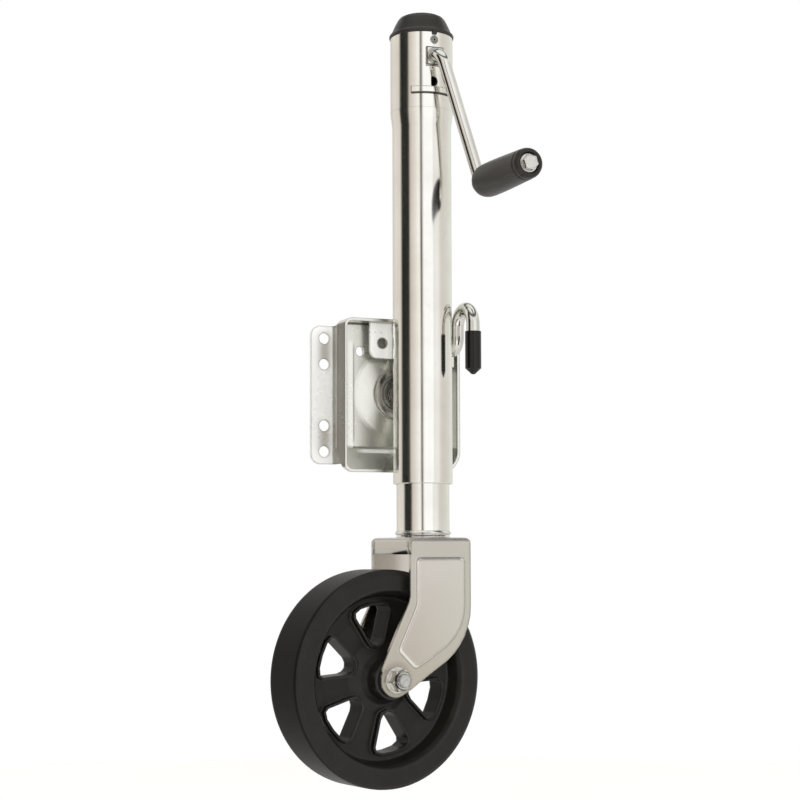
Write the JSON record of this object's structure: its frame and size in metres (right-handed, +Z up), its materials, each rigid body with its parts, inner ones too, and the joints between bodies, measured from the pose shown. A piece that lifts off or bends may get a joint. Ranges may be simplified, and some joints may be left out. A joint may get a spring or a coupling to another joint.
{
  "type": "trailer tongue jack",
  "caption": "Side-wind swivel trailer jack with bolt-on mount plate, pull-pin lock, cranked screw leg and caster wheel.",
  "frame": {"origin": "centre of the bolt pattern on the back face of the mount plate", "axes": "+Z up along the jack tube, +Y into the trailer frame that the plate bolts to, -Y towards the crank"},
  "size_m": [0.2293, 0.2334, 0.7406],
  "materials": {
    "bright_zinc": "bright zinc plate on smooth tube and rod",
    "satin_zinc": "satin zinc plate on pressed sheet",
    "zinc_steel": "zinc plate",
    "plain_steel": "oiled bare steel",
    "bronze": "sintered bronze",
    "black_plastic": "moulded, fine texture",
    "black_vinyl": "dipped vinyl",
    "grey_plastic": "moulded",
    "wheel_plastic": "moulded, worn tread"
  },
  "bodies": {
    "frame_side": {"mount_plate": "zinc_steel", "pivot_hub": "zinc_steel", "pivot_washer": "zinc_steel", "hub_rivet": "zinc_steel"},
    "jack_body": {"swivel_pan": "zinc_steel", "outer_tube": "bright_zinc", "weld_beads": "zinc_steel", "crank_bushings": "zinc_steel", "boss_plate": "zinc_steel", "cap": "black_plastic", "cap_pin": "zinc_steel", "bearing_support": "zinc_steel", "bearing_race_lower": "plain_steel", "wear_ring": "black_plastic"},
    "pull_pin_body": {"pull_pin": "bright_zinc", "pin_sleeve": "black_vinyl", "pin_clip": "zinc_steel", "pin_spring": "zinc_steel"},
    "crank": {"crank_rod": "bright_zinc", "pinion": "plain_steel", "pinion_pin": "zinc_steel", "crank_clip": "zinc_steel", "grip_bolt": "zinc_steel", "grip_washer": "zinc_steel"},
    "grip_body": {"grip": "black_plastic"},
    "screw": {"lead_screw": "plain_steel", "bevel_gear": "plain_steel", "gear_pin": "zinc_steel", "bearing_race_upper": "plain_steel", "bearing_balls": "plain_steel", "screw_ring": "zinc_steel"},
    "leg": {"inner_tube": "bright_zinc", "drive_nut": "bronze", "nut_rivets": "zinc_steel", "guide_ring": "black_plastic", "foot_flange": "bright_zinc", "kingpin": "zinc_steel", "swivel_race_upper": "zinc_steel"},
    "caster": {"fork": "satin_zinc", "swivel_race_lower": "zinc_steel", "swivel_balls": "plain_steel", "kingpin_washer": "zinc_steel", "axle_bolt": "zinc_steel", "axle_nut": "zinc_steel", "axle_washers": "zinc_steel", "axle_sleeve": "zinc_steel"},
    "wheel_body": {"wheel": "wheel_plastic", "hub_bushings": "grey_plastic"}
  },
  "joints": [
    {"name": "swing_pivot", "type": "hinge", "parent": "frame_side", "child": "jack_body", "pos_m": [0, -0.0327, 0], "axis": [0, 1, 0], "range_deg": [-90, 90]},
    {"name": "pin_pull", "type": "slide", "parent": "jack_body", "child": "pull_pin_body", "axis": [0, -1, 0], "range_m": [0, 0.009], "stiffness_N_per_m": 1200, "springref_m": -0.006, "deforming": ["pin_spring"]},
    {"name": "crank_turn", "type": "hinge", "parent": "jack_body", "child": "crank", "pos_m": [0.006, -0.082, 0.319], "axis": [0, 1, 0], "range_deg": [0, 26990]},
    {"name": "grip_spin", "type": "hinge", "parent": "crank", "child": "grip_body", "pos_m": [0.04694, -0.172, 0.19593], "axis": [0, -1, 0], "continuous": true},
    {"name": "screw_turn", "type": "hinge", "parent": "jack_body", "child": "screw", "pos_m": [0.006, -0.082, 0.29], "axis": [0, 0, 1], "range_deg": [-18000, 0]},
    {"name": "leg_extend", "type": "slide", "parent": "jack_body", "child": "leg", "axis": [0, 0, -1], "range_m": [0, 0.254]},
    {"name": "caster_swivel", "type": "hinge", "parent": "leg", "child": "caster", "pos_m": [0.006, -0.082, -0.144], "axis": [0, 0, 1], "continuous": true},
    {"name": "wheel_spin", "type": "hinge", "parent": "caster", "child": "wheel_body", "pos_m": [-0.04675, -0.09154, -0.273], "axis": [0.1779, -0.984, 0], "continuous": true}
  ],
  "couplings": [
    {"joint": "screw_turn", "follows": "crank_turn", "ratio": -0.66667},
    {"joint": "leg_extend", "follows": "crank_turn", "m_per_rad": 0.000539}
  ]
}
